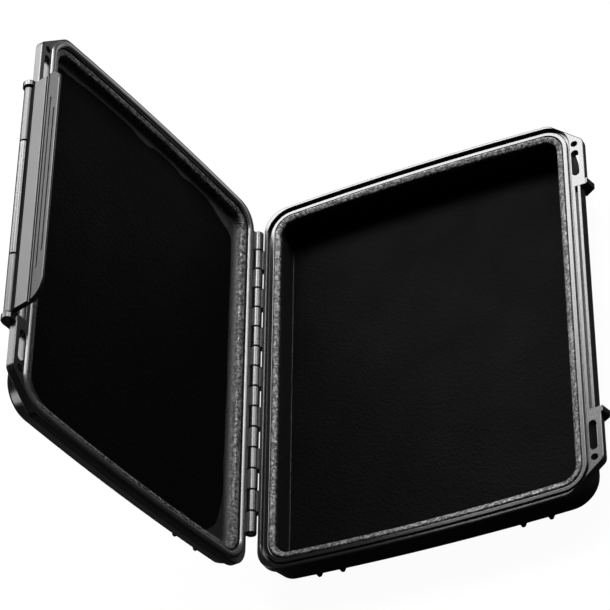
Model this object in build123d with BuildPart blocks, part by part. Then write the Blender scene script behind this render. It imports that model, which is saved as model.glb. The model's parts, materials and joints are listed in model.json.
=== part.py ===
from build123d import *
import os
from math import cos, radians, sin, sqrt, tan

# Tablet case: a base and a lid on a long pin hinge, closed by one wide latch.
# X runs from the hinge to the latch, Y along the hinge, Z up.
# The origin is the centre of the base's flat bottom. Sizes are in millimetres.

# Overall sizes
case_width = 209.4  # outer edge of the rim, hinge side to latch side
case_length = 269.0  # outer edge of the rim, across the bowed short sides
base_depth = 24.0  # bottom face up to the rim
lid_depth = 14.0  # rim up to the lid's outer face
side_bow = 3.0  # how far each short side swells past its ends
corner_radius = 19.5  # plan radius of the rim's inner lines, measured at its outer edge
hinge_corner_radius = 15.5  # outer edge at the hinge-side corners
body_corner_radius = 22.0  # walls under the ears, at the latch-side corners
panel_radius = 7.0  # least plan radius, used on the sunk panels

# Pose the case is stored in
lid_angle = 96.5  # opening of the lid, from closed
latch_angle = 9.0  # swing of the latch, outwards from latched

# Shells
flange_thickness = 5.0
flange_overhang = 1.2  # how far the flange stands out past the wall below it
base_wall_draft = 9.5  # degrees
lid_wall_draft = 19.0
base_edge_radius = 5.0
lid_edge_radius = 4.0
floor_thickness = 2.4
parting_gap = 0.2  # between the two rims when the lid is shut
panel_margin = 24.0  # border round the sunk panel on the lid's outer face
panel_sink = 0.8
foot_margin = 19.0  # border outside the shallow groove in the base's bottom
foot_groove_width = 2.0
foot_groove_depth = 0.6
flange_edge_radius = 0.7

# Rim section, each one measured inwards from the last
land_width = 2.2  # flat outer land of the rim
groove_width = 1.8
tongue_width = 2.8
groove_depth = 3.6
tongue_drop = 1.2  # the tongue's crest lies this far below the land
ridge_width = 0.5  # thin rib along the middle of the groove
ridge_drop = 2.6
tongue_radius = 0.5
land_chamfer = 0.4

# Liners, pads and gasket
liner_clearance = 0.2
liner_thickness = 3.2
liner_floor = 1.0
liner_drop = 0.7  # lip of the base liner below the rim
lid_liner_drop = 0.8  # lip of the lid liner behind the lid's rim
lip_radius = 1.1
pad_clearance = 0.3
pad_edge_radius = 0.6
base_pad_thickness = 1.9
lid_pad_thickness = 4.0
gasket_width = 4.0
gasket_wall = 0.5  # left between the gasket's seat and the lid's hollow
gasket_crown = 0.9  # how far the bead stands out of the lid's rim
gasket_seat = 2.2  # how far it sits in the lid
gasket_clearance = 0.05
gasket_radius = 1.9

# Ears with their slots and holes, on the latch-side corners of both shells
ear_reach = 6.8  # past the rim
ear_start_setback = 55.0  # inner end of each ear, in from the end of the case
ear_corner_setback = 20.5  # where the ear's outer edge turns into the chamfer
ear_chamfer_setback = 14.7  # where the chamfer meets the short side, in from the rim
ear_corner_radius = 5.0
ear_blend_radius = 9.0
slot_width = 4.8
slot_length = 19.4
slot_margin = 8.1  # from the ear's inner end
ear_inset = 5.6  # slot centre, inwards from the ear's outer edge
hole_radius = 2.2
hole_pitch = 4.9  # hole centre past the end of the slot

# Hinge
hinge_reach = 4.2  # axis outwards from the rim
hinge_front_setback = 29.5  # in from the end of the case at -Y
hinge_back_setback = 17.5
knuckle_count = 15
knuckle_radius = 3.4
knuckle_gap = 0.5
knuckle_end_radius = 0.5
hinge_pin_radius = 1.25
pin_clearance = 0.05
pin_end_recess = 0.6
web_depth = 9.0
web_overlap = 1.5  # how far a web runs into its shell
web_lean = 1.0  # further in at its foot

# Keeper rail and its guards, on the base
rail_gap = 1.8
rail_top_width = 1.5
rail_reach = 4.8  # past the rim, at the rail's foot
rail_height = 4.8
rail_gap_depth = 3.0
guard_width = 3.8
guard_rise = 0.6
guard_lead = 0.2  # from the ear's edge to the foot of the crest
guard_crest = 8.0  # outer end of the crest, past the rim
guard_point = 9.8  # furthest point, past the rim
guard_point_drop = 7.5
guard_foot_reach = 2.5
guard_foot_drop = 12.5
guard_clearance = 0.2
guard_radius = 0.25
rail_radius = 0.4

# Latch, measured from its own pin
latch_pin_reach = 7.8  # pin outwards from the rim
latch_pin_height = 5.8  # pin above the parting plane
latch_end_gap = 0.5  # between the latch and the ears
latch_knuckle_radius = 2.9
latch_pin_radius = 1.0
latch_split = 40.0  # half length of the lid's own middle knuckle
latch_split_gap = 0.9
lug_width = 3.8
lug_radius = 4.0
lug_root = 1.0  # the lug's foot, below its barrel
plate_inner = 1.6
plate_outer = 1.8
plate_foot_gap = 1.4  # free edge above the case's bottom when latched
plate_flare = 0.9
plate_lip = 1.5  # thickness at the free edge
plate_lip_height = 8.0  # over which the plate thins
plate_radius = 0.35
upper_groove_top = 3.2
upper_groove_bottom = 6.8
upper_groove_depth = 1.5
lower_groove_top = 16.0
lower_groove_step = 0.3  # height of its steep upper side
lower_groove_bottom = 19.2
lower_groove_depth = 1.4
knuckle_clearance = 3.4
hook_reach = 4.2
hook_top = 11.0
hook_height = 3.0
hook_end_setback = 7.0
plate_corner_radius = 10.0
grip_slot_width = 1.1
grip_slot_depth = 0.7
grip_slots = [(7.2, 19.0), (3.4, 29.0)]  # above the free edge, in from the latch's end

# Ribs on the short sides
hinge_side_ribs = [29.7, 44.7]  # in from the hinge side of the base
latch_side_ribs = [34.7, 51.7]  # in from its latch side
lid_ribs = [32.7, 52.7]  # in from the hinge side of the lid
rib_width = 5.2
rib_lean = 0.9  # crest set off the rib's middle
rib_setback = 3.2  # crest inwards from the rim
rib_end = 0.8

# Derived places
rim_x = case_width / 2
end_y = case_length / 2
hinge_x = -rim_x - hinge_reach
ear_x = rim_x + ear_reach
ear_chamfer_x = rim_x - ear_chamfer_setback
ear_corner_y = end_y - ear_corner_setback
latch_bay_half = end_y - ear_start_setback
slot_start = latch_bay_half + slot_margin
slot_end = slot_start + slot_length
hole_y = slot_end + hole_pitch
hinge_start = hinge_front_setback - end_y
hinge_end = end_y - hinge_back_setback
groove_start = land_width
tongue_start = groove_start + groove_width
wall_inset = tongue_start + tongue_width
liner_inset = wall_inset + liner_clearance
bay_inset = liner_inset + liner_thickness
pad_inset = bay_inset + pad_clearance
ridge_start = groove_start + (groove_width - ridge_width) / 2
seat_start = wall_inset - gasket_wall - gasket_width
latch_pin_x = rim_x + latch_pin_reach
latch_half_length = latch_bay_half - latch_end_gap
hook_half_length = latch_half_length - hook_end_setback
plate_drop = base_depth + latch_pin_height - plate_foot_gap
base_rib_places = [x - rim_x for x in hinge_side_ribs] + [rim_x - x for x in latch_side_ribs]
lid_rib_places = [x - rim_x for x in lid_ribs]
end_cap = (latch_bay_half + guard_clearance, latch_bay_half + guard_width)


def turned_plane(origin, angle):
    """The XY plane turned open by angle about the direction of the hinge."""
    turn = radians(angle)
    return Plane(origin=origin, x_dir=(cos(turn), 0, sin(turn)), z_dir=(-sin(turn), 0, cos(turn)))


def across(frame, y):
    """A plane that faces -Y, at distance y along the frame: its axes are the frame's X and Z."""
    return Plane(origin=frame.from_local_coords((0, y, 0)), x_dir=frame.x_dir, z_dir=-frame.y_dir)


# The lid's plane and the latch's plane turn with them, so each part is drawn as if shut.
base_plane = Plane.XY
hinge_plane = turned_plane((hinge_x, 0, base_depth), lid_angle)
lid_plane = Plane(
    origin=hinge_plane.from_local_coords((-hinge_x, 0, 0)),
    x_dir=hinge_plane.x_dir,
    z_dir=hinge_plane.z_dir,
)
latch_plane = turned_plane(
    lid_plane.from_local_coords((latch_pin_x, 0, latch_pin_height)), lid_angle + latch_angle
)
lid_up = Axis(lid_plane.origin, lid_plane.z_dir)


def rim_face(plane, inset, hinge_radius=corner_radius, latch_radius=corner_radius):
    """Face inside the rim's outline, moved inwards by inset all round."""
    half_width = rim_x - inset
    outer_bow = (rim_x**2 + side_bow**2) / (2 * side_bow)
    bow_centre = end_y - outer_bow
    corner_y = bow_centre + sqrt((outer_bow - inset) ** 2 - half_width**2)
    crown_y = end_y - inset
    with BuildSketch(plane) as face:
        with BuildLine():
            Line((-half_width, -corner_y), (-half_width, corner_y))
            ThreePointArc((-half_width, corner_y), (0, crown_y), (half_width, corner_y))
            Line((half_width, corner_y), (half_width, -corner_y))
            ThreePointArc((half_width, -corner_y), (0, -crown_y), (-half_width, -corner_y))
        make_face()
        fillet(face.vertices().group_by(Axis.X)[0], max(hinge_radius - inset, panel_radius))
        fillet(face.vertices().group_by(Axis.X)[-1], max(latch_radius - inset, panel_radius))
    return face.sketch


def wall_faces(plane, height, draft):
    """Outlines of the walls at the flange and at the outer face, which the draft makes smaller."""
    lean = abs(height) * tan(radians(draft))
    return [
        rim_face(plane, flange_overhang, hinge_corner_radius, body_corner_radius),
        rim_face(plane.offset(height), flange_overhang + lean, hinge_corner_radius, body_corner_radius),
    ]


def short_side_y(x, inset):
    """Half length of the rim's outline at x."""
    outer_bow = (rim_x**2 + side_bow**2) / (2 * side_bow)
    return end_y - outer_bow + sqrt((outer_bow - inset) ** 2 - x**2)


def ring(plane, outer_inset, inner_inset, height):
    """Closed band between two insets of the rim, raised from the plane."""
    with BuildSketch(plane) as band:
        add(rim_face(Plane.XY, outer_inset))
        add(rim_face(Plane.XY, inner_inset), mode=Mode.SUBTRACT)
    return extrude(band.sketch, amount=height, mode=Mode.PRIVATE)


def bar(frame, outline, start, end, rounding=0):
    """Straight bar along Y with a closed outline of (x, z) points."""
    with BuildSketch(across(frame, end)) as profile:
        with BuildLine():
            Polyline(*outline, close=True)
        make_face()
        if rounding:
            fillet(profile.vertices(), rounding)
    return extrude(profile.sketch, amount=end - start, mode=Mode.PRIVATE)


def rod(frame, centre, radius, start, end, end_rounding=0):
    """Round bar along Y about centre, an (x, z) point."""
    with BuildSketch(across(frame, end)) as profile:
        with Locations(centre):
            Circle(radius)
    solid = extrude(profile.sketch, amount=end - start, mode=Mode.PRIVATE)
    if end_rounding:
        solid = solid.fillet(end_rounding, solid.edges().filter_by(GeomType.CIRCLE))
    return solid


def flange_face(plane):
    """The rim's outline with an ear on each latch-side corner."""
    corner_y = short_side_y(rim_x, 0)
    crown_y = end_y
    chamfer_y = short_side_y(ear_chamfer_x, 0)
    with BuildSketch(plane) as flange:
        with BuildLine():
            Line((-rim_x, -corner_y), (-rim_x, corner_y))
            ThreePointArc((-rim_x, corner_y), (0, crown_y), (ear_chamfer_x, chamfer_y))
            Polyline(
                (ear_chamfer_x, chamfer_y), (ear_x, ear_corner_y), (ear_x, latch_bay_half),
                (rim_x, latch_bay_half), (rim_x, -latch_bay_half), (ear_x, -latch_bay_half),
                (ear_x, -ear_corner_y), (ear_chamfer_x, -chamfer_y),
            )
            ThreePointArc((ear_chamfer_x, -chamfer_y), (0, -crown_y), (-rim_x, -corner_y))
        make_face()
        fillet(flange.vertices().group_by(Axis.X)[0], hinge_corner_radius)
        fillet(flange.vertices().filter_by(lambda v: abs(v.X - ear_chamfer_x) < 0.01), ear_blend_radius)
        tips = flange.vertices().filter_by(lambda v: abs(abs(v.Y) - ear_corner_y) < 0.01)
        fillet(tips, ear_corner_radius)
    return flange.sketch


def ear_openings(plane, height):
    """The slots and the round holes of both ears, as cutters that start at the plane."""
    slot_x = ear_x - ear_inset
    with BuildSketch(plane) as openings:
        for side in (1, -1):
            with Locations((slot_x, side * (slot_start + slot_end) / 2)):
                SlotOverall(slot_end - slot_start, slot_width, rotation=90)
            with Locations((slot_x, side * hole_y)):
                Circle(hole_radius)
    return extrude(openings.sketch, amount=height, mode=Mode.PRIVATE)


def knuckle_spans(first):
    """Start and end of every second hinge knuckle, beginning with number first."""
    pitch = (hinge_end - hinge_start) / knuckle_count
    starts = [hinge_start + n * pitch for n in range(first, knuckle_count, 2)]
    return [(start + knuckle_gap / 2, start + pitch - knuckle_gap / 2) for start in starts]


def ribs(frame, places, low, high):
    """Upright three-sided ribs on both short sides, from low to high."""
    solids = []
    for x in places:
        crest_y = short_side_y(x, rib_setback)
        root_y = short_side_y(x, wall_inset)
        with BuildSketch(frame.offset(low)) as plan:
            for side in (1, -1):
                with BuildLine():
                    Polyline(
                        (x - rib_width / 2, side * root_y),
                        (x + rib_width / 2, side * root_y),
                        (x + rib_lean, side * crest_y),
                        (x - rib_lean, side * crest_y),
                        close=True,
                    )
                make_face()
        solids.append(extrude(plan.sketch, amount=high - low, mode=Mode.PRIVATE))
    return solids


# Base shell
flange_bottom = base_depth - flange_thickness
with BuildPart() as base_shell:
    extrude(flange_face(Plane.XY.offset(flange_bottom)), amount=flange_thickness)
    fillet(base_shell.edges().group_by(Axis.Z)[0], flange_edge_radius)
    fillet(base_shell.edges().group_by(Axis.Z)[-1], flange_edge_radius)
    loft(wall_faces(Plane.XY.offset(flange_bottom), -flange_bottom, base_wall_draft), ruled=True)
    fillet(base_shell.edges().group_by(Axis.Z)[0], base_edge_radius)
    add(ribs(base_plane, base_rib_places, rib_end, flange_bottom))
    # keeper rail between the ears, with the slit behind it
    rail_bottom = base_depth - rail_height
    rail_x = rim_x + rail_gap
    add(bar(base_plane, [
        (rim_x - wall_inset / 2, base_depth), (rail_x + rail_top_width, base_depth),
        (rim_x + rail_reach, base_depth - rail_gap_depth), (rim_x + rail_reach, rail_bottom),
        (rim_x - wall_inset / 2, rail_bottom),
    ], -latch_bay_half, latch_bay_half, rail_radius))
    # pointed guards at the ends of the latch
    for start, end in (end_cap, (-end_cap[1], -end_cap[0])):
        add(bar(base_plane, [
            (rim_x - wall_inset / 2, base_depth), (ear_x + guard_lead, base_depth),
            (ear_x + 2 * guard_lead, base_depth + guard_rise), (rim_x + guard_crest, base_depth + guard_rise),
            (rim_x + guard_point, base_depth - guard_point_drop),
            (rim_x + guard_foot_reach, base_depth - guard_foot_drop),
            (rim_x + guard_foot_reach, flange_bottom), (rim_x - wall_inset / 2, flange_bottom),
        ], start, end, guard_radius))
    # hinge knuckles and their webs
    for start, end in knuckle_spans(1):
        add(rod(base_plane, (hinge_x, base_depth), knuckle_radius, start, end, knuckle_end_radius))
        add(bar(base_plane, [
            (hinge_x, base_depth - knuckle_radius), (hinge_x, base_depth),
            (web_overlap - rim_x, base_depth), (web_overlap + web_lean - rim_x, base_depth - web_depth),
        ], start, end))
    add(rod(base_plane, (hinge_x, base_depth), hinge_pin_radius + pin_clearance,
            hinge_start, hinge_end), mode=Mode.SUBTRACT)
    # inside
    extrude(rim_face(Plane.XY.offset(base_depth + guard_rise), wall_inset),
            amount=floor_thickness - base_depth - guard_rise, mode=Mode.SUBTRACT)
    add(ring(Plane.XY.offset(base_depth - groove_depth), groove_start, tongue_start, groove_depth),
        mode=Mode.SUBTRACT)
    add(ring(Plane.XY.offset(base_depth - tongue_drop), groove_start, wall_inset, tongue_drop),
        mode=Mode.SUBTRACT)
    crest = base_depth - tongue_drop
    fillet(base_shell.edges().filter_by_position(Axis.Z, crest, crest), tongue_radius)
    extrude(rim_face(Plane.XY.offset(base_depth - land_chamfer), groove_start), amount=land_chamfer,
            taper=-45, mode=Mode.SUBTRACT)
    add(ring(Plane.XY.offset(base_depth - groove_depth), ridge_start, ridge_start + ridge_width,
             groove_depth - ridge_drop))
    add(bar(base_plane, [
        (rim_x, base_depth), (rail_x, base_depth), (rail_x, base_depth - rail_gap_depth),
        (rim_x, base_depth - rail_gap_depth),
    ], -latch_bay_half, latch_bay_half), mode=Mode.SUBTRACT)
    add(ear_openings(Plane.XY.offset(flange_bottom), flange_thickness), mode=Mode.SUBTRACT)
    add(ring(Plane.XY, foot_margin, foot_margin + foot_groove_width, foot_groove_depth), mode=Mode.SUBTRACT)
base_shell.part.label = "base_shell"

# Base liner, a rubber tray with a rounded lip
with BuildPart() as base_liner:
    extrude(rim_face(Plane.XY.offset(floor_thickness), liner_inset),
            amount=base_depth - liner_drop - floor_thickness)
    extrude(rim_face(Plane.XY.offset(floor_thickness + liner_floor), bay_inset),
            amount=base_depth, mode=Mode.SUBTRACT)
    fillet(base_liner.edges().group_by(Axis.Z)[-1], lip_radius)
base_liner.part.label = "base_liner"

# Foam pad on the bay's floor
with BuildPart() as base_pad:
    extrude(rim_face(Plane.XY.offset(floor_thickness + liner_floor), pad_inset),
            amount=base_pad_thickness)
    fillet(base_pad.edges().group_by(Axis.Z)[-1], pad_edge_radius)
base_pad.part.label = "base_pad"

# Hinge pin
with BuildPart() as hinge_pin:
    add(rod(base_plane, (hinge_x, base_depth), hinge_pin_radius,
            hinge_start + pin_end_recess, hinge_end - pin_end_recess))
hinge_pin.part.label = "hinge_pin"

# Lid shell, drawn shut on its own plane: heights start at the parting plane
lid_rim = parting_gap
lid_flange_top = lid_rim + flange_thickness
lid_top = lid_rim + lid_depth
lid_inner = lid_top - floor_thickness
pivot = (latch_pin_x, latch_pin_height)
with BuildPart() as lid_shell:
    extrude(flange_face(lid_plane.offset(lid_rim)), amount=flange_thickness)
    fillet(lid_shell.edges().group_by(lid_up)[0], flange_edge_radius)
    fillet(lid_shell.edges().group_by(lid_up)[-1], flange_edge_radius)
    loft(wall_faces(lid_plane.offset(lid_flange_top), lid_top - lid_flange_top, lid_wall_draft), ruled=True)
    fillet(lid_shell.edges().group_by(lid_up)[-1], lid_edge_radius)
    add(ribs(lid_plane, lid_rib_places, lid_flange_top, lid_top - rib_end))
    # hinge knuckles and their webs
    for start, end in knuckle_spans(0):
        add(rod(lid_plane, (hinge_x, 0), knuckle_radius, start, end, knuckle_end_radius))
        add(bar(lid_plane, [
            (hinge_x, knuckle_radius), (hinge_x, lid_rim),
            (web_overlap - rim_x, lid_rim), (web_overlap + web_lean - rim_x, web_depth),
        ], start, end))
    add(rod(lid_plane, (hinge_x, 0), hinge_pin_radius + pin_clearance,
            hinge_start, hinge_end), mode=Mode.SUBTRACT)
    # lugs and the middle knuckle that carry the latch pin
    lug_start = latch_bay_half + guard_clearance
    spans = [
        (lug_start, lug_start + lug_width, lug_radius),
        (-lug_start - lug_width, -lug_start, lug_radius),
        (latch_split_gap / 2 - latch_split, latch_split - latch_split_gap / 2, latch_knuckle_radius),
    ]
    for start, end, radius in spans:
        add(rod(lid_plane, pivot, radius, start, end, knuckle_end_radius))
        add(bar(lid_plane, [
            (rim_x - wall_inset / 2, latch_pin_height - radius - lug_root), (latch_pin_x, latch_pin_height - radius),
            (latch_pin_x, latch_pin_height + radius), (rim_x - wall_inset / 2, lid_flange_top + web_depth / 2),
        ], start, end))
    add(rod(lid_plane, pivot, latch_pin_radius + pin_clearance, -lug_start - lug_width,
            lug_start + lug_width), mode=Mode.SUBTRACT)
    # inside
    extrude(rim_face(lid_plane, wall_inset), amount=lid_inner, mode=Mode.SUBTRACT)
    add(ring(lid_plane, seat_start, seat_start + gasket_width, lid_rim + gasket_seat), mode=Mode.SUBTRACT)
    add(ear_openings(lid_plane, lid_flange_top), mode=Mode.SUBTRACT)
    extrude(rim_face(lid_plane.offset(lid_top), panel_margin), amount=-panel_sink, mode=Mode.SUBTRACT)
lid_shell.part.label = "lid_shell"

# Gasket bead in the lid's rim
with BuildPart() as lid_gasket:
    add(ring(lid_plane.offset(lid_rim - gasket_crown), seat_start + gasket_clearance,
             seat_start + gasket_width - gasket_clearance, gasket_crown + gasket_seat - gasket_clearance))
    fillet(lid_gasket.edges().group_by(lid_up)[0], gasket_radius)
lid_gasket.part.label = "lid_gasket"

# Lid liner, a shallow rubber tray
with BuildPart() as lid_liner:
    extrude(rim_face(lid_plane.offset(lid_inner), liner_inset),
            amount=lid_rim + lid_liner_drop - lid_inner)
    extrude(rim_face(lid_plane.offset(lid_inner - liner_floor), bay_inset), amount=-lid_depth,
            mode=Mode.SUBTRACT)
    fillet(lid_liner.edges().group_by(lid_up)[0], lip_radius)
lid_liner.part.label = "lid_liner"

# Foam pad in the lid
with BuildPart() as lid_pad:
    extrude(rim_face(lid_plane.offset(lid_inner - liner_floor), pad_inset), amount=-lid_pad_thickness)
    fillet(lid_pad.edges().group_by(lid_up)[0], pad_edge_radius)
lid_pad.part.label = "lid_pad"

# Latch, drawn latched on its own plane: heights start at its pin
with BuildPart() as latch:
    face_x = plate_outer
    add(bar(latch_plane, [
        (-plate_inner, 0), (-plate_inner, -hook_top), (-hook_reach, -hook_top),
        (-hook_reach, -hook_top - hook_height / 2), (-plate_inner, -hook_top - hook_height),
        (-plate_inner, plate_lip_height - plate_drop), (face_x + plate_flare - plate_lip, -plate_drop),
        (face_x + plate_flare, -plate_drop),
        (face_x, -lower_groove_bottom), (face_x - lower_groove_depth, -lower_groove_top - lower_groove_step),
        (face_x, -lower_groove_top), (face_x, -upper_groove_bottom),
        (face_x - upper_groove_depth, -upper_groove_top), (face_x - upper_groove_depth, 0),
    ], -latch_half_length, latch_half_length, plate_radius))
    # seen from outside, the two free corners are round
    with BuildSketch(Plane(latch_plane.origin, latch_plane.y_dir, latch_plane.x_dir)) as plan:
        with BuildLine():
            Polyline(
                (-latch_half_length, lug_width), (-latch_half_length, -plate_drop),
                (latch_half_length, -plate_drop), (latch_half_length, lug_width), close=True,
            )
        make_face()
        fillet(plan.vertices().group_by(Axis.Y)[0], plate_corner_radius)
    extrude(amount=lug_width + hook_reach, both=True, mode=Mode.INTERSECT)
    add(rod(latch_plane, (0, 0), latch_knuckle_radius, -latch_half_length, latch_half_length,
            knuckle_end_radius))
    # room for the lid's middle knuckle
    add(bar(latch_plane, [
        (-lug_width, -knuckle_clearance), (lug_width, -knuckle_clearance),
        (lug_width, lug_width), (-lug_width, lug_width),
    ], -latch_split - latch_split_gap / 2, latch_split + latch_split_gap / 2), mode=Mode.SUBTRACT)
    # the hook stops short of the ends
    for start, end in ((hook_half_length, latch_half_length), (-latch_half_length, -hook_half_length)):
        add(bar(latch_plane, [
            (-plate_inner, -hook_top), (-hook_reach, -hook_top),
            (-hook_reach, -hook_top - hook_height), (-plate_inner, -hook_top - hook_height),
        ], start, end), mode=Mode.SUBTRACT)
    # grip slots
    for rise, setback in grip_slots:
        top = rise - plate_drop
        half = latch_half_length - setback
        lean = plate_flare * (lower_groove_bottom + top) / (lower_groove_bottom - plate_drop)
        add(bar(latch_plane, [
            (face_x + lean - grip_slot_depth, top), (face_x + plate_flare, top),
            (face_x + plate_flare, top - grip_slot_width), (face_x + lean - grip_slot_depth, top - grip_slot_width),
        ], -half, half), mode=Mode.SUBTRACT)
    add(rod(latch_plane, (0, 0), latch_pin_radius + pin_clearance, -latch_half_length,
            latch_half_length), mode=Mode.SUBTRACT)
latch.part.label = "latch"

# Latch pin
with BuildPart() as latch_pin:
    pin_end = latch_bay_half + guard_clearance + lug_width - pin_end_recess
    add(rod(lid_plane, pivot, latch_pin_radius, -pin_end, pin_end))
latch_pin.part.label = "latch_pin"

os.makedirs("parts", exist_ok=True)
export_step(base_shell.part, "parts/base_shell.step")
export_step(base_liner.part, "parts/base_liner.step")
export_step(base_pad.part, "parts/base_pad.step")
export_step(hinge_pin.part, "parts/hinge_pin.step")
export_step(lid_shell.part, "parts/lid_shell.step")
export_step(lid_gasket.part, "parts/lid_gasket.step")
export_step(lid_liner.part, "parts/lid_liner.step")
export_step(lid_pad.part, "parts/lid_pad.step")
export_step(latch.part, "parts/latch.step")
export_step(latch_pin.part, "parts/latch_pin.step")
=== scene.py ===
import json
import math

import bmesh
import bpy
from mathutils import Matrix, Vector, noise


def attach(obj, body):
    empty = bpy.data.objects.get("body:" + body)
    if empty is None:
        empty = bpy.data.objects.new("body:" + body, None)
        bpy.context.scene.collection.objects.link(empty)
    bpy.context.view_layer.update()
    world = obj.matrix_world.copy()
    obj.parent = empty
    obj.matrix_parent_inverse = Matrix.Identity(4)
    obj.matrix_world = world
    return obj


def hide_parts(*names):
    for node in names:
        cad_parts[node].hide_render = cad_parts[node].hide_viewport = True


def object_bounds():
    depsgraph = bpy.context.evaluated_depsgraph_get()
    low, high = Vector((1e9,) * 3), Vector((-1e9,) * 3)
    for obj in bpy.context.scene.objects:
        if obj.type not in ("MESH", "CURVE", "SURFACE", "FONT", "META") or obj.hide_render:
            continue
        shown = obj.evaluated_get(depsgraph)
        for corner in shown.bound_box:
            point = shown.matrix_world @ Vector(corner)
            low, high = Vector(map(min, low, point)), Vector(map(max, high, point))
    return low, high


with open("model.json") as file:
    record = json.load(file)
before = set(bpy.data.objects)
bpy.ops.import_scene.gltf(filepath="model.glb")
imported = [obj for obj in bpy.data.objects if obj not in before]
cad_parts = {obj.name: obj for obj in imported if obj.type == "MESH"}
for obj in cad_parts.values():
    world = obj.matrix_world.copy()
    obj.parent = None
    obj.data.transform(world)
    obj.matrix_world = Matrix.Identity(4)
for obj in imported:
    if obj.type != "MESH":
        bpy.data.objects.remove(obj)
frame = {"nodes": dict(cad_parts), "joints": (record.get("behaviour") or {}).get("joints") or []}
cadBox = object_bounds()

# Places worked out from the frame

mm = 0.001
nodes = frame["nodes"]
lidHinge = next(j for j in frame["joints"] if j["name"] == "lid_hinge")
hingePoint = Vector(lidHinge["pos_m"])
hingeAxis = Vector(lidHinge["axis"])
lidOpening = math.radians(-lidHinge["range_deg"][0])

basePlace = Matrix.Translation((0, 0, hingePoint.z))  # z = 0 is the rim plane, inside is down
turnOver = Matrix.Rotation(math.pi, 4, "Y")
swing = Matrix.Rotation(lidOpening, 4, hingeAxis)
swingOpen = Matrix.Translation(hingePoint) @ swing @ Matrix.Translation(-hingePoint)
lidPlace = swingOpen @ basePlace @ turnOver  # the same for the lid, which lies rim up while it is made


def boxIn(node, place):
    # lowest and highest corner of a CAD node, measured along the axes of a place
    back = place.inverted()
    points = [back @ v.co for v in nodes[node].data.vertices]
    low = Vector([min(p[i] for p in points) for i in range(3)])
    high = Vector([max(p[i] for p in points) for i in range(3)])
    return low, high


# Node groups shared by the materials


def newGroup(name, inputs, outputs):
    group = bpy.data.node_groups.new(name, "ShaderNodeTree")
    for label, default in inputs:
        socket = group.interface.new_socket(label, in_out="INPUT", socket_type="NodeSocketFloat")
        socket.default_value = default
    for label, kind in outputs:
        group.interface.new_socket(label, in_out="OUTPUT", socket_type=kind)
    return group, group.nodes.new("NodeGroupInput"), group.nodes.new("NodeGroupOutput")


def math2(tree, operation, first, second, clamp=False):
    # a Math node; each side is a socket or a number
    node = tree.nodes.new("ShaderNodeMath")
    node.operation = operation
    node.use_clamp = clamp
    for slot, value in zip(node.inputs, (first, second)):
        if isinstance(value, (int, float)):
            slot.default_value = value
        else:
            tree.links.new(value, slot)
    return node.outputs[0]


def noiseNode(tree, vector, scale, detail=3.0, roughness=0.55, distortion=0.0):
    node = tree.nodes.new("ShaderNodeTexNoise")
    node.inputs["Detail"].default_value = detail
    node.inputs["Roughness"].default_value = roughness
    node.inputs["Distortion"].default_value = distortion
    tree.links.new(vector, node.inputs["Vector"])
    if isinstance(scale, (int, float)):
        node.inputs["Scale"].default_value = scale
    else:
        tree.links.new(scale, node.inputs["Scale"])
    return node.outputs["Fac"]


def rampNode(tree, value, stops):
    node = tree.nodes.new("ShaderNodeValToRGB")
    tree.links.new(value, node.inputs["Fac"])
    ramp = node.color_ramp
    while len(ramp.elements) < len(stops):
        ramp.elements.new(0.5)
    for element, (position, grey) in zip(ramp.elements, stops):
        element.position = position
        element.color = (grey, grey, grey, 1)
    return node.outputs["Color"]


def makeGrainGroup():
    # moulded texture: a fine pebble with a slow waviness under it
    slowScale = 55.0
    group, given, out = newGroup("mouldGrain", [("Scale", 1500.0), ("Waviness", 0.3)],
                                 [("Height", "NodeSocketFloat"), ("Mask", "NodeSocketFloat")])
    place = group.nodes.new("ShaderNodeTexCoord").outputs["Object"]
    pebble = noiseNode(group, place, given.outputs["Scale"], 2.0, 0.6)
    slow = noiseNode(group, place, slowScale, 2.0, 0.5)
    height = math2(group, "ADD", pebble, math2(group, "MULTIPLY", slow, given.outputs["Waviness"]))
    group.links.new(height, out.inputs["Height"])
    group.links.new(slow, out.inputs["Mask"])
    return group


def makeLeatherGroup():
    # embossed leather: warped pebbles between creases, and a mask that picks out their polished crests; the
    # liner lightens these crests as a painted highlight
    warpScale = 300.0
    warpReach = 1.6 * mm
    fineRatio = 1.1
    fineShare = 0.5
    creaseShine = 0.25
    group, given, out = newGroup("leatherGrain", [("Scale", 620.0), ("Crease", 0.6)],
                                 [("Height", "NodeSocketFloat"), ("Mask", "NodeSocketFloat")])
    place = group.nodes.new("ShaderNodeTexCoord").outputs["Object"]
    warp = group.nodes.new("ShaderNodeTexNoise")
    warp.inputs["Scale"].default_value = warpScale
    warp.inputs["Detail"].default_value = 2.0
    group.links.new(place, warp.inputs["Vector"])
    shift = group.nodes.new("ShaderNodeVectorMath")
    shift.operation = "MULTIPLY_ADD"
    shift.inputs[1].default_value = (warpReach, warpReach, warpReach)
    group.links.new(warp.outputs["Color"], shift.inputs[0])
    group.links.new(place, shift.inputs[2])
    cells = group.nodes.new("ShaderNodeTexVoronoi")
    cells.feature = "DISTANCE_TO_EDGE"
    group.links.new(shift.outputs[0], cells.inputs["Vector"])
    group.links.new(given.outputs["Scale"], cells.inputs["Scale"])
    pebble = rampNode(group, cells.outputs["Distance"], [(0.0, 0.0), (0.16, 0.75), (0.42, 1.0)])
    fineScale = math2(group, "MULTIPLY", given.outputs["Scale"], fineRatio)
    speckle = noiseNode(group, shift.outputs[0], fineScale, 3.0, 0.7)
    sharp = rampNode(group, speckle, [(0.45, 0.0), (0.56, 1.0)])
    height = math2(group, "ADD", math2(group, "MULTIPLY", pebble, given.outputs["Crease"]),
                   math2(group, "MULTIPLY", sharp, fineShare))
    group.links.new(height, out.inputs["Height"])
    shine = math2(group, "MULTIPLY", sharp, math2(group, "ADD", pebble, creaseShine))
    group.links.new(shine, out.inputs["Mask"])
    return group


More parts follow.
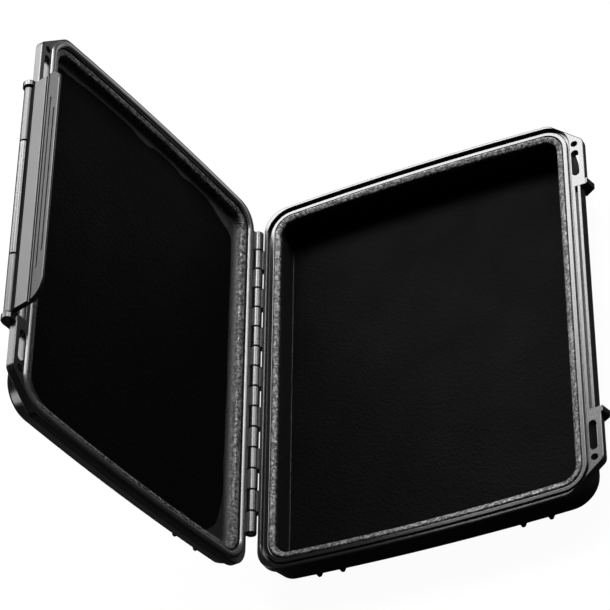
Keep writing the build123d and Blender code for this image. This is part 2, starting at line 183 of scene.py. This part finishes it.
def makeFoamGroup():
    # closed-cell foam: small pores over a soft unevenness, and a mask of larger worn patches
    softScale = 240.0
    wornScale = 28.0
    group, given, out = newGroup("foamPores", [("Scale", 1100.0)],
                                 [("Height", "NodeSocketFloat"), ("Mask", "NodeSocketFloat")])
    place = group.nodes.new("ShaderNodeTexCoord").outputs["Object"]
    cells = group.nodes.new("ShaderNodeTexVoronoi")
    group.links.new(place, cells.inputs["Vector"])
    group.links.new(given.outputs["Scale"], cells.inputs["Scale"])
    soft = noiseNode(group, place, softScale, 4.0, 0.6)
    height = math2(group, "ADD", cells.outputs["Distance"], soft)
    group.links.new(height, out.inputs["Height"])
    group.links.new(noiseNode(group, place, wornScale, 3.0, 0.6), out.inputs["Mask"])
    return group


def makeEdgeSheenGroup():
    # painted edge highlight: a lighter colour where a rounded normal leaves the real one, broken up by noise
    edgeGain = 5.0
    group, given, out = newGroup("paintedEdgeSheen", [("Width", 0.6 * mm), ("Break", 260.0)],
                                 [("Mask", "NodeSocketFloat")])
    rounded = group.nodes.new("ShaderNodeBevel")
    rounded.samples = 4
    group.links.new(given.outputs["Width"], rounded.inputs["Radius"])
    geometry = group.nodes.new("ShaderNodeNewGeometry")
    dot = group.nodes.new("ShaderNodeVectorMath")
    dot.operation = "DOT_PRODUCT"
    group.links.new(rounded.outputs["Normal"], dot.inputs[0])
    group.links.new(geometry.outputs["Normal"], dot.inputs[1])
    edge = math2(group, "MULTIPLY", math2(group, "SUBTRACT", 1.0, dot.outputs["Value"]), edgeGain, clamp=True)
    place = group.nodes.new("ShaderNodeTexCoord").outputs["Object"]
    patches = noiseNode(group, place, given.outputs["Break"], 4.0, 0.65)
    broken = rampNode(group, patches, [(0.42, 0.0), (0.62, 1.0)])
    group.links.new(math2(group, "MULTIPLY", edge, broken), out.inputs["Mask"])
    return group


def makeDustGroup():
    # faint handling marks: large soft blotches and a few fine specks
    speckScale = 900.0
    blotchShare = 0.8
    speckShare = 0.2
    group, given, out = newGroup("handlingMarks", [("Scale", 22.0)], [("Mask", "NodeSocketFloat")])
    place = group.nodes.new("ShaderNodeTexCoord").outputs["Object"]
    blotch = noiseNode(group, place, given.outputs["Scale"], 5.0, 0.62, 0.4)
    speck = rampNode(group, noiseNode(group, place, speckScale, 2.0, 0.5), [(0.60, 0.0), (0.72, 1.0)])
    blotches = math2(group, "MULTIPLY", blotch, blotchShare)
    specks = math2(group, "MULTIPLY", speck, speckShare)
    group.links.new(math2(group, "ADD", blotches, specks), out.inputs["Mask"])
    return group


grainGroup = makeGrainGroup()
leatherGroup = makeLeatherGroup()
foamGroup = makeFoamGroup()
edgeSheenGroup = makeEdgeSheenGroup()
dustGroup = makeDustGroup()
print("stage: node groups")

# Materials

# greys, roughness from smooth to rough, scale of the grain, strength and depth of the bump
# the edge width and edge grey in these looks set a painted highlight along edges
mouldedLook = {"waviness": 0.6, "sheenWidth": 0.5 * mm, "emboss": 0.3 * mm}
shellLook = {**mouldedLook, "colour": 0.004, "edgeSheenGrey": 0.02, "smooth": 0.17, "rough": 0.28, "grain": 1100.0,
             "bump": 0.10, "specular": 0.5}
latchLook = {**mouldedLook, "colour": 0.006, "edgeSheenGrey": 0.03, "smooth": 0.30, "rough": 0.40, "grain": 900.0,
             "bump": 0.06, "specular": 0.5}
# painted shade: the dark, dull look of the strips laid in the latch's grooves
grooveShadeLook = {**mouldedLook, "colour": 0.002, "edgeSheenGrey": 0.003, "smooth": 0.85, "rough": 0.95, "grain": 900.0,
              "bump": 0.06, "specular": 0.06}
# the crest grey is a painted highlight on the grain's crests
linerLook = {"colour": 0.0010, "crest": 0.17, "polished": 0.22, "dull": 0.55, "grain": 470.0, "bump": 1.0,
             "emboss": 0.14 * mm, "specular": 0.35}
padLook = {"colour": 0.0010, "worn": 0.0018, "smooth": 0.60, "rough": 0.80, "pores": 560.0, "bump": 0.7,
           "emboss": 0.35 * mm, "specular": 0.02}
gasketLook = {"colour": 0.030, "marked": 0.060, "smooth": 0.22, "rough": 0.32, "grain": 420.0,
              "waviness": 1.5, "marks": 40.0, "bump": 0.03, "emboss": 0.3 * mm, "specular": 1.0}
steelLook = {"colour": 0.42, "bright": 0.56, "smooth": 0.22, "rough": 0.38, "brush": 900.0, "stretch": 0.04,
             "bump": 0.05, "emboss": 0.1 * mm}


def newMaterial(name):
    material = bpy.data.materials.new(name)
    material.use_nodes = True
    tree = material.node_tree
    return material, tree, tree.nodes["Principled BSDF"]


def placeGroup(tree, group, **values):
    node = tree.nodes.new("ShaderNodeGroup")
    node.node_tree = group
    for label, value in values.items():
        node.inputs[label].default_value = value
    return node


def mixGrey(tree, factor, low, high):
    # a value or colour that goes from low to high as the mask rises
    node = tree.nodes.new("ShaderNodeMapRange")
    node.inputs["To Min"].default_value = low
    node.inputs["To Max"].default_value = high
    tree.links.new(factor, node.inputs["Value"])
    return node.outputs["Result"]


def addBump(tree, shader, height, strength, distance):
    bump = tree.nodes.new("ShaderNodeBump")
    bump.inputs["Strength"].default_value = strength
    bump.inputs["Distance"].default_value = distance
    tree.links.new(height, bump.inputs["Height"])
    tree.links.new(bump.outputs["Normal"], shader.inputs["Normal"])


def makeShellPlastic(name, look):
    material, tree, shader = newMaterial(name)
    grain = placeGroup(tree, grainGroup, Scale=look["grain"], Waviness=look["waviness"])
    sheenMask = placeGroup(tree, edgeSheenGroup, Width=look["sheenWidth"])
    marks = placeGroup(tree, dustGroup)
    # painted edge highlight: the base colour turns lighter along edges
    colour = mixGrey(tree, sheenMask.outputs["Mask"], look["colour"], look["edgeSheenGrey"])
    tree.links.new(colour, shader.inputs["Base Color"])
    rough = mixGrey(tree, marks.outputs["Mask"], look["smooth"], look["rough"])
    tree.links.new(rough, shader.inputs["Roughness"])
    shader.inputs["Specular IOR Level"].default_value = look["specular"]
    addBump(tree, shader, grain.outputs["Height"], look["bump"], look["emboss"])
    return material


def makeLinerRubber():
    # the crests are polished and the creases between them stay dull; the crests are also painted lighter, a
    # painted highlight, which fades out deeper in the tray as painted shade
    material, tree, shader = newMaterial("linerRubber")
    leather = placeGroup(tree, leatherGroup, Scale=linerLook["grain"])
    shown = tree.nodes.new("ShaderNodeAttribute")
    shown.attribute_name = "crestSheenShare"
    # painted highlight on the crests, held back deeper in the tray as painted shade
    crest = math2(tree, "MULTIPLY", leather.outputs["Mask"], shown.outputs["Fac"])
    tree.links.new(mixGrey(tree, crest, linerLook["colour"], linerLook["crest"]), shader.inputs["Base Color"])
    tree.links.new(mixGrey(tree, crest, linerLook["dull"], linerLook["polished"]), shader.inputs["Roughness"])
    shader.inputs["Specular IOR Level"].default_value = linerLook["specular"]
    addBump(tree, shader, leather.outputs["Height"], linerLook["bump"], linerLook["emboss"])
    return material


def makePadFoam():
    material, tree, shader = newMaterial("padFoam")
    pores = placeGroup(tree, foamGroup, Scale=padLook["pores"])
    tree.links.new(mixGrey(tree, pores.outputs["Mask"], padLook["colour"], padLook["worn"]),
                   shader.inputs["Base Color"])
    tree.links.new(mixGrey(tree, pores.outputs["Mask"], padLook["rough"], padLook["smooth"]),
                   shader.inputs["Roughness"])
    shader.inputs["Specular IOR Level"].default_value = padLook["specular"]
    addBump(tree, shader, pores.outputs["Height"], padLook["bump"], padLook["emboss"])
    return material


def makeGasketRubber():
    material, tree, shader = newMaterial("gasketRubber")
    grain = placeGroup(tree, grainGroup, Scale=gasketLook["grain"], Waviness=gasketLook["waviness"])
    marks = placeGroup(tree, dustGroup, Scale=gasketLook["marks"])
    colour = mixGrey(tree, marks.outputs["Mask"], gasketLook["colour"], gasketLook["marked"])
    tree.links.new(colour, shader.inputs["Base Color"])
    rough = mixGrey(tree, marks.outputs["Mask"], gasketLook["smooth"], gasketLook["rough"])
    tree.links.new(rough, shader.inputs["Roughness"])
    shader.inputs["Specular IOR Level"].default_value = gasketLook["specular"]
    addBump(tree, shader, grain.outputs["Height"], gasketLook["bump"], gasketLook["emboss"])
    return material


def makePinSteel():
    # the wire is drawn along Y, so the streaks are long that way
    material, tree, shader = newMaterial("pinSteel")
    coordinates = tree.nodes.new("ShaderNodeTexCoord")
    stretch = tree.nodes.new("ShaderNodeMapping")
    stretch.inputs["Scale"].default_value = (1.0, steelLook["stretch"], 1.0)
    tree.links.new(coordinates.outputs["Object"], stretch.inputs["Vector"])
    streak = noiseNode(tree, stretch.outputs["Vector"], steelLook["brush"], 4.0, 0.6)
    shader.inputs["Metallic"].default_value = 1.0
    colour = mixGrey(tree, streak, steelLook["colour"], steelLook["bright"])
    tree.links.new(colour, shader.inputs["Base Color"])
    rough = mixGrey(tree, streak, steelLook["smooth"], steelLook["rough"])
    tree.links.new(rough, shader.inputs["Roughness"])
    addBump(tree, shader, streak, steelLook["bump"], steelLook["emboss"])
    return material


shellPlastic = makeShellPlastic("shellPlastic", shellLook)
latchPlastic = makeShellPlastic("latchPlastic", latchLook)
# painted shade for the strips in the latch's grooves
grooveShadePlastic = makeShellPlastic("grooveShadePlastic", grooveShadeLook)
linerRubber = makeLinerRubber()
padFoam = makePadFoam()
gasketRubber = makeGasketRubber()
pinSteel = makePinSteel()

cadLooks = {
    "base_shell": shellPlastic, "lid_shell": shellPlastic, "latch": latchPlastic,
    "hinge_pin": pinSteel, "latch_pin": pinSteel,
}
for name, material in cadLooks.items():
    nodes[name].data.materials.clear()
    nodes[name].data.materials.append(material)
print("stage: materials")

# Modelling helpers: a piece is made rim up about z = 0, then put in its place

sharpAngle = math.radians(50)
mergeDistance = 0.001 * mm


def rimOutline(bm, low, high, height, bow, cornerRadius, cornerSegments, sideStep):
    # one face: a rectangle with rounded corners and bowed short sides
    half = (high - low) / 2
    middle = (high + low) / 2
    bmesh.ops.create_grid(bm, x_segments=1, y_segments=1, size=1.0)
    bmesh.ops.scale(bm, vec=(half.x, half.y, 1), verts=bm.verts[:])
    bmesh.ops.bevel(bm, geom=bm.verts[:], offset=cornerRadius, offset_type="OFFSET", affect="VERTICES",
                    segments=cornerSegments, profile=0.5, material=-1)
    longEdges = [e for e in bm.edges if e.calc_length() > 2 * cornerRadius]
    for edge in longEdges:
        bmesh.ops.subdivide_edges(bm, edges=[edge], cuts=int(edge.calc_length() / sideStep))
    for v in bm.verts:
        v.co.y *= 1 - bow * (v.co.x / half.x) ** 2 / half.y
    bmesh.ops.translate(bm, vec=(middle.x, middle.y, height), verts=bm.verts[:])
    return bm.faces[:][0]


def stepIn(bm, cap, inward, rise):
    # the cap moves inwards and up, and leaves a band round it
    bmesh.ops.inset_region(bm, faces=[cap], thickness=inward, depth=rise, use_even_offset=True,
                           use_boundary=True)


def turnUp(cap):
    # the steps go along the cap's normal, so it has to point up
    cap.normal_update()
    if cap.normal.z < 0:
        cap.normal_flip()


def arcSteps(width, height, start, end, count):
    # (inward, rise) pairs along part of an ellipse; angles in degrees, 180 is its outer side and 90 its top
    turns = [math.radians(start + (end - start) * n / count) for n in range(count + 1)]
    points = [(width * math.cos(t), height * math.sin(t)) for t in turns]
    return [(b[0] - a[0], b[1] - a[1]) for a, b in zip(points, points[1:])]


def finishPiece(bm, name, material, place):
    bmesh.ops.recalc_face_normals(bm, faces=bm.faces[:])
    mesh = bpy.data.meshes.new(name)
    bm.to_mesh(mesh)
    bm.free()
    mesh.transform(place)
    mesh.polygons.foreach_set("use_smooth", [True] * len(mesh.polygons))
    mesh.set_sharp_from_angle(angle=sharpAngle)
    mesh.materials.append(material)
    piece = bpy.data.objects.new(name, mesh)
    bpy.context.scene.collection.objects.link(piece)
    return piece


# Liners

linerSizes = {
    "bow": 3.0 * mm, "corner": 12.5 * mm, "cornerSegments": 60, "step": 1.6 * mm, "wallStep": 1.5 * mm,
    "coveSteps": 8, "smoothFloor": 0.2 * mm, "crease": 0.13 * mm, "creasePitch": 3.4 * mm, "fineRatio": 2.7,
    "fineShare": 0.5, "foldShare": 0.55, "pleatShare": 0.9, "pleats": 38, "pleatDrift": 2.2,
    "driftPitch": 4 * mm,
}
# sheen fade: the depths below the lip's top between which the painted crest highlight fades out, so the liner
# is painted darker further down, a painted shade
baseLinerSizes = {**linerSizes, "wallLean": -0.5 * mm, "cove": 1.1 * mm, "sheenFadeDepths": (1.5 * mm, 3.5 * mm)}
lidLinerSizes = {**linerSizes, "wallLean": 0.2 * mm, "cove": 4.2 * mm, "sheenFadeDepths": (1.2 * mm, 5.0 * mm)}
lidPadStand = 0.4 * mm  # how far the lid's pad stands above the liner's floor round it
# the lip rises steeply, then slopes down towards the inside: (inward, rise) in mm
lipSteps = [(0.12, 0.30), (0.25, 0.20), (0.30, 0.08), (0.40, -0.04), (0.60, -0.18), (0.60, -0.23),
            (0.60, -0.24), (0.50, -0.26), (0.30, -0.32), (0.13, -0.42)]


def crinkle(bm, sizes, low, high, keepBelow):
    # shallow folds that run across the lip, deeper round the corners where the sheet is gathered
    half = (high - low) / 2
    middle = (high + low) / 2
    corner = sizes["corner"]
    bm.normal_update()
    moves = []
    for v in bm.verts:
        if v.co.z < keepBelow:
            continue
        across = v.co.x - middle.x
        along = v.co.y - middle.y
        reach = min(abs(across) - (half.x - 2 * corner), abs(along) - (half.y - 2 * corner))
        nearCorner = max(0.0, min(1.0, reach / corner))
        fine = noise.noise(sizes["fineRatio"] * v.co / sizes["creasePitch"])
        fold = noise.noise(v.co / sizes["creasePitch"]) + sizes["fineShare"] * fine
        around = math.atan2(along - math.copysign(half.y - corner, along),
                            across - math.copysign(half.x - corner, across))
        drift = sizes["pleatDrift"] * noise.noise(v.co / sizes["driftPitch"])
        pleat = math.sin(sizes["pleats"] * around + drift)
        depth = sizes["foldShare"] * fold + nearCorner * sizes["pleatShare"] * pleat
        moves.append((v, v.normal * sizes["crease"] * depth))
    for v, move in moves:
        v.co += move


def makeLiner(name, node, body, sizes, place, floorTop):
    # a tray with a rolled lip, whose wall runs into the floor with a cove
    low, high = boxIn(node, place)
    bm = bmesh.new()
    cap = rimOutline(bm, low, high, low.z, sizes["bow"], sizes["corner"], sizes["cornerSegments"],
                     sizes["step"])
    lipFoot = high.z - sum(rise for inward, rise in lipSteps if rise > 0) * mm
    bmesh.ops.duplicate(bm, geom=[cap])  # the copy closes the tray underneath
    turnUp(cap)
    stepIn(bm, cap, 0.0, lipFoot - low.z)
    for inward, rise in lipSteps:
        stepIn(bm, cap, inward * mm, rise * mm)
    wallFoot = floorTop + sizes["cove"]
    wallDrop = lipFoot + sum(rise for inward, rise in lipSteps) * mm - wallFoot
    wallSteps = max(1, round(wallDrop / sizes["wallStep"]))
    for n in range(wallSteps):
        stepIn(bm, cap, sizes["wallLean"] / wallSteps, -wallDrop / wallSteps)
    for inward, rise in arcSteps(sizes["cove"], sizes["cove"], 180, 270, sizes["coveSteps"]):
        stepIn(bm, cap, inward, rise)
    bmesh.ops.remove_doubles(bm, verts=bm.verts[:], dist=mergeDistance)
    # each point's share of the painted crest highlight: full near the lip, none further down, which paints
    # the deeper tray darker as shade
    shown = bm.verts.layers.float.new("crestSheenShare")
    start, end = sizes["sheenFadeDepths"]
    for v in bm.verts:
        v[shown] = max(0.0, min(1.0, (high.z - v.co.z - end) / (start - end)))
    crinkle(bm, sizes, low, high, floorTop + sizes["smoothFloor"])
    piece = finishPiece(bm, name, linerRubber, place)
    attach(piece, body)
    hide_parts(node)


basePadBox = boxIn("base_pad", basePlace)
lidPadBox = boxIn("lid_pad", lidPlace)
makeLiner("baseLiner", "base_liner", "base", baseLinerSizes, basePlace, basePadBox[0].z)
makeLiner("lidLiner", "lid_liner", "lid", lidLinerSizes, lidPlace, lidPadBox[1].z - lidPadStand)
print("stage: liners")

# Foam pads

padSizes = {
    "bow": 2.9 * mm, "corner": 9.0 * mm, "columns": 62, "rows": 82, "edge": 0.9 * mm, "edgeSegments": 4,
    "crown": 0.35 * mm, "swellPower": 4, "flatTop": 0.05 * mm, "unevenness": 0.10 * mm, "sunk": 0.6,
    "patch": 26 * mm, "baseGap": 0.8 * mm, "lidGap": 3.2 * mm,
}


def makePad(name, node, body, place, gap):
    # a soft sheet: rounded corners, a rolled edge and a slightly crowned, uneven face
    low, high = boxIn(node, place)
    half = (high - low) / 2 - Vector((gap, gap, 0))
    middle = (high + low) / 2
    corner = padSizes["corner"]
    bm = bmesh.new()
    bmesh.ops.create_grid(bm, x_segments=padSizes["columns"], y_segments=padSizes["rows"], size=1.0)
    bmesh.ops.scale(bm, vec=(half.x, half.y, 1), verts=bm.verts[:])
    for v in bm.verts:
        across = max(0.0, abs(v.co.x) - (half.x - corner)) / corner
        along = max(0.0, abs(v.co.y) - (half.y - corner)) / corner
        if across > 0 and along > 0:  # the corner's square becomes a quarter disc
            v.co.x = math.copysign(half.x - corner + corner * across * math.sqrt(1 - along**2 / 2), v.co.x)
            v.co.y = math.copysign(half.y - corner + corner * along * math.sqrt(1 - across**2 / 2), v.co.y)
        v.co.y *= 1 - padSizes["bow"] * (v.co.x / half.x) ** 2 / half.y
    bmesh.ops.translate(bm, vec=(middle.x, middle.y, low.z), verts=bm.verts[:])
    raised = bmesh.ops.extrude_face_region(bm, geom=bm.faces[:])
    topVerts = [g for g in raised["geom"] if isinstance(g, bmesh.types.BMVert)]
    topFaces = {g for g in raised["geom"] if isinstance(g, bmesh.types.BMFace)}
    bmesh.ops.translate(bm, vec=(0, 0, high.z - low.z - padSizes["crown"]), verts=topVerts)
    rim = [e for e in bm.edges if len(set(e.link_faces) & topFaces) == 1]
    bmesh.ops.bevel(bm, geom=rim, offset=padSizes["edge"], offset_type="OFFSET", affect="EDGES",
                    segments=padSizes["edgeSegments"], profile=0.5, material=-1)
    topHeight = max(v.co.z for v in bm.verts)
    for v in bm.verts:
        if v.co.z > topHeight - padSizes["flatTop"]:
            inX = 1 - ((v.co.x - middle.x) / half.x) ** padSizes["swellPower"]
            inY = 1 - ((v.co.y - middle.y) / half.y) ** padSizes["swellPower"]
            swell = padSizes["crown"] * max(0.0, inX * inY)
            rough = noise.noise(v.co / padSizes["patch"]) - padSizes["sunk"]
            v.co.z += swell + padSizes["unevenness"] * rough
    piece = finishPiece(bm, name, padFoam, place)
    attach(piece, body)
    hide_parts(node)


makePad("basePad", "base_pad", "base", basePlace, padSizes["baseGap"])
makePad("lidPad", "lid_pad", "lid", lidPlace, padSizes["lidGap"])
print("stage: pads")

# Gasket bead

gasketSizes = {"bow": 3.0 * mm, "corner": 17.15 * mm, "cornerSegments": 26, "step": 4 * mm, "width": 4.6 * mm,
               "crown": 2.2 * mm, "crownSteps": 14, "spread": 0.35 * mm, "stand": 0.3 * mm}


def makeGasket():
    # a bead with a rounded crown, open underneath until its two edges are bridged
    spread = Vector((1, 1, 0)) * gasketSizes["spread"]
    low, high = boxIn("lid_gasket", lidPlace)
    low -= spread
    high += spread
    high.z += gasketSizes["stand"]
    bm = bmesh.new()
    cap = rimOutline(bm, low, high, low.z, gasketSizes["bow"], gasketSizes["corner"],
                     gasketSizes["cornerSegments"], gasketSizes["step"])
    turnUp(cap)
    start = list(bm.edges)
    stepIn(bm, cap, 0.0, high.z - low.z - gasketSizes["crown"])
    halfWidth = gasketSizes["width"] / 2
    for inward, rise in arcSteps(halfWidth, gasketSizes["crown"], 180, 0, gasketSizes["crownSteps"]):
        stepIn(bm, cap, inward, rise)
    stepIn(bm, cap, 0.0, low.z - high.z + gasketSizes["crown"])
    end = list(cap.edges)
    bmesh.ops.delete(bm, geom=[cap], context="FACES_ONLY")
    bmesh.ops.bridge_loops(bm, edges=start + end)
    piece = finishPiece(bm, "lidGasket", gasketRubber, lidPlace)
    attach(piece, "lid")
    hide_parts("lid_gasket")


makeGasket()
print("stage: gasket")

# Dark strips laid on the sloping floors of the latch's two long grooves: painted shade, because these floors
# lie in shadow

latchHinge = next(j for j in frame["joints"] if j["name"] == "latch_hinge")
latchTurn = lidOpening - math.radians(latchHinge["range_deg"][0])
latchPlace = Matrix.Translation(latchHinge["pos_m"]) @ Matrix.Rotation(latchTurn, 4, hingeAxis)
# outline of each strip as (out, up) from the pin, in mm
grooveShadeStrips = {
    "upperGrooveShade": [(0.36, -2.95), (1.86, -6.72), (1.20, -6.72), (-0.20, -2.95)],
    "lowerGrooveShade": [(0.46, -16.35), (1.86, -19.12), (1.20, -19.12), (-0.20, -16.35)],
}
grooveHalf = 78.9 * mm  # half their length, just short of the latch's ends


# a thin dark wedge lying on a groove floor, painted shade
def makeGrooveShadeStrip(name, outline):
    bm = bmesh.new()
    corners = [bm.verts.new((out * mm, -grooveHalf, up * mm)) for out, up in outline]
    side = bm.faces.new(corners)
    grown = bmesh.ops.extrude_face_region(bm, geom=[side])
    moved = [g for g in grown["geom"] if isinstance(g, bmesh.types.BMVert)]
    bmesh.ops.translate(bm, vec=(0, 2 * grooveHalf, 0), verts=moved)
    piece = finishPiece(bm, name, grooveShadePlastic, latchPlace)
    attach(piece, "latch")


for name, outline in grooveShadeStrips.items():
    makeGrooveShadeStrip(name, outline)
print("stage: latch grooves")

# Floor, light and camera

stageLook = {"floor": 0.80, "floorDark": 0.04, "glow": 1.0, "glowShare": 0.96, "world": 1.0,
             "worldDim": 0.015, "size": 6.0, "drop": 0.2 * mm, "rough": 0.9, "backGlow": 1.4}
# the part of the floor that glows in reflections: axis, start and full strength along it, in metres
backZone = (("Y", 0.15, 0.19), ("Y", 0.60, 0.45), ("X", 0.16, 0.06), ("X", -0.60, -0.40))


def makeFloor():
    # pale to the camera; dark in reflections, except the part behind the lid, which lights its back edge
    bm = bmesh.new()
    bmesh.ops.create_grid(bm, x_segments=1, y_segments=1, size=stageLook["size"])
    bmesh.ops.translate(bm, vec=(0, 0, cadBox[0].z - stageLook["drop"]), verts=bm.verts[:])
    material, tree, shader = newMaterial("paleFloor")
    rays = tree.nodes.new("ShaderNodeLightPath").outputs
    tree.links.new(mixGrey(tree, rays["Is Camera Ray"], stageLook["floorDark"], stageLook["floor"]),
                   shader.inputs["Base Color"])
    shader.inputs["Roughness"].default_value = stageLook["rough"]
    shader.inputs["Specular IOR Level"].default_value = 0.0
    axes = tree.nodes.new("ShaderNodeSeparateXYZ")
    tree.links.new(tree.nodes.new("ShaderNodeTexCoord").outputs["Object"], axes.inputs[0])
    zone = 1.0
    for axis, start, full in backZone:
        fade = tree.nodes.new("ShaderNodeMapRange")
        fade.inputs["From Min"].default_value = start
        fade.inputs["From Max"].default_value = full
        tree.links.new(axes.outputs[axis], fade.inputs["Value"])
        zone = math2(tree, "MULTIPLY", fade.outputs["Result"], zone)
    seen = math2(tree, "MULTIPLY", zone, rays["Is Glossy Ray"])
    direct = math2(tree, "MULTIPLY", rays["Is Camera Ray"], stageLook["glowShare"])
    share = math2(tree, "MAXIMUM", seen, direct)
    glow = tree.nodes.new("ShaderNodeEmission")
    tree.links.new(mixGrey(tree, rays["Is Camera Ray"], stageLook["backGlow"], stageLook["glow"]),
                   glow.inputs["Strength"])
    mix = tree.nodes.new("ShaderNodeMixShader")
    tree.links.new(share, mix.inputs["Fac"])
    tree.links.new(shader.outputs["BSDF"], mix.inputs[1])
    tree.links.new(glow.outputs["Emission"], mix.inputs[2])
    tree.links.new(mix.outputs["Shader"], tree.nodes["Material Output"].inputs["Surface"])
    floor = finishPiece(bm, "floor", material, Matrix.Identity(4))


def makeWorld():
    world = bpy.data.worlds.new("studio")
    world.use_nodes = True
    tree = world.node_tree
    path = tree.nodes.new("ShaderNodeLightPath").outputs["Is Camera Ray"]
    background = tree.nodes["Background"]
    background.inputs["Color"].default_value = (1, 1, 1, 1)
    strength = mixGrey(tree, path, stageLook["worldDim"], stageLook["world"])
    tree.links.new(strength, background.inputs["Strength"])
    bpy.context.scene.world = world


# each softbox: direction from the case, distance, width, height in metres, brightness of its face
softboxes = {
    "keySoftbox": {"toward": (-0.09, 0.725, 0.66), "distance": 1.9, "size": (1.72, 0.55), "face": 20.0},
    "topPanel": {"toward": (0.16, 0.56, 0.80), "distance": 1.9, "size": (0.9, 0.42), "face": 15.0},
    "leftPanel": {"toward": (-0.642, 0.568, 0.515), "distance": 1.9, "size": (0.76, 0.95), "face": 7.0},
    "leftStrip": {"toward": (-0.90, -0.25, 0.35), "distance": 1.6, "size": (0.45, 1.0), "face": 5.0},
    "backPanel": {"toward": (0.60, 0.60, 0.53), "distance": 1.9, "size": (0.5, 0.8), "face": 13.0},
    "lowPanel": {"toward": (-0.37, 0.91, 0.20), "distance": 2.1, "size": (0.8, 0.42), "face": 12.0},
    "backStrip": {"toward": (0.82, 0.57, 0.02), "distance": 1.9, "size": (0.3, 0.8), "face": 7.0},
    "rightFill": {"toward": (0.85, -0.40, 0.25), "distance": 2.0, "size": (1.0, 0.7), "face": 0.25},
    "frontFill": {"toward": (-0.25, -0.90, 0.35), "distance": 2.0, "size": (1.4, 0.6), "face": 0.4},
}


def addSoftbox(name, box):
    light = bpy.data.lights.new(name, "AREA")
    light.shape = "RECTANGLE"
    light.size, light.size_y = box["size"]
    light.energy = box["face"] * math.pi * light.size * light.size_y
    lamp = bpy.data.objects.new(name, light)
    toward = Vector(box["toward"]).normalized()
    centre = (cadBox[0] + cadBox[1]) / 2
    lamp.location = centre + toward * box["distance"]
    lamp.rotation_euler = (-toward).to_track_quat("-Z", "Y").to_euler()
    bpy.context.scene.collection.objects.link(lamp)


cameraSetup = {"place": Vector((0.5214, -0.8990, 1.1753)), "aim": Vector((-0.0751, 0.0503, 0.024)),
               "roll": 40.57, "lens": 154.53, "sensor": 36.0, "farClip": 50.0}


def makeCamera():
    data = bpy.data.cameras.new("camera")
    data.lens = cameraSetup["lens"]
    data.sensor_width = cameraSetup["sensor"]
    data.clip_end = cameraSetup["farClip"]
    forward = (cameraSetup["aim"] - cameraSetup["place"]).normalized()
    levelRight = forward.cross(Vector((0, 0, 1))).normalized()
    levelUp = levelRight.cross(forward)
    roll = math.radians(cameraSetup["roll"])
    right = levelRight * math.cos(roll) - levelUp * math.sin(roll)
    up = right.cross(forward)
    turn = Matrix((right, up, -forward)).transposed().to_4x4()
    camera = bpy.data.objects.new("camera", data)
    camera.matrix_world = Matrix.Translation(cameraSetup["place"]) @ turn
    bpy.context.scene.collection.objects.link(camera)
    bpy.context.scene.camera = camera


makeFloor()
makeWorld()
for name, box in softboxes.items():
    addSoftbox(name, box)
makeCamera()
bpy.context.scene.view_settings.view_transform = "Standard"
print("stage: floor, lights and camera")
